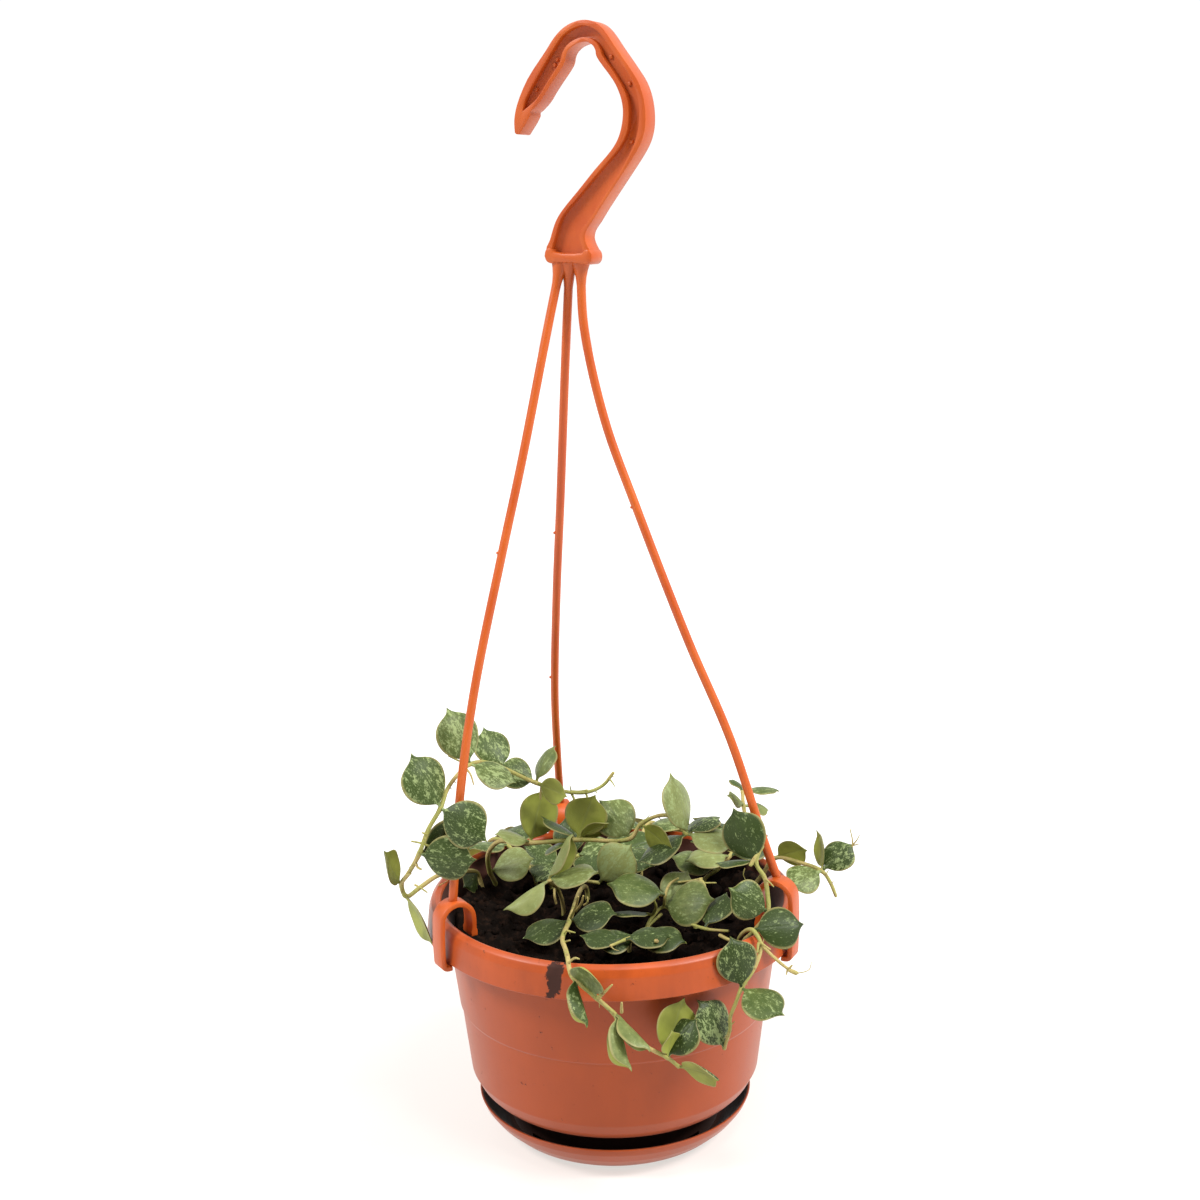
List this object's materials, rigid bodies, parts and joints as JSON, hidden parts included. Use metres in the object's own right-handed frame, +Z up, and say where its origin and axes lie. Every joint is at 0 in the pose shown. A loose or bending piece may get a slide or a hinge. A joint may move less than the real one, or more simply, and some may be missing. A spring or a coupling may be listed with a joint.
{
  "type": "potted climbing plant",
  "caption": "Small-leaved trailing hoya in an orange-brown nursery hanging pot with a drip saucer and a three-armed clip-on hanger.",
  "frame": {"origin": "centre of the saucer's flat foot, on the surface the pot stands on", "axes": "+Z up along the pot's axis to the hook, -Y to the front as pictured, +X to the right"},
  "size_m": [0.1737, 0.172, 0.4041],
  "materials": {
    "pot_plastic": "satin moulded polypropylene, orange-brown",
    "hanger_plastic": "satin moulded polypropylene, brighter orange",
    "soil": null,
    "foliage": null
  },
  "bodies": {
    "root": {"saucer": "pot_plastic", "pot": "pot_plastic", "soil": "soil", "hanger": "hanger_plastic", "vine_left_arch": "foliage", "vine_centre": "foliage", "vine_front_left": "foliage", "vine_front_trail": "foliage", "vine_middle": "foliage", "vine_front_low": "foliage", "vine_right_upright": "foliage", "vine_right_trail": "foliage", "vine_right_side": "foliage", "vine_back_right": "foliage", "vine_back_soil": "foliage", "vine_back_middle": "foliage", "vine_back_left": "foliage"}
  },
  "joints": []
}
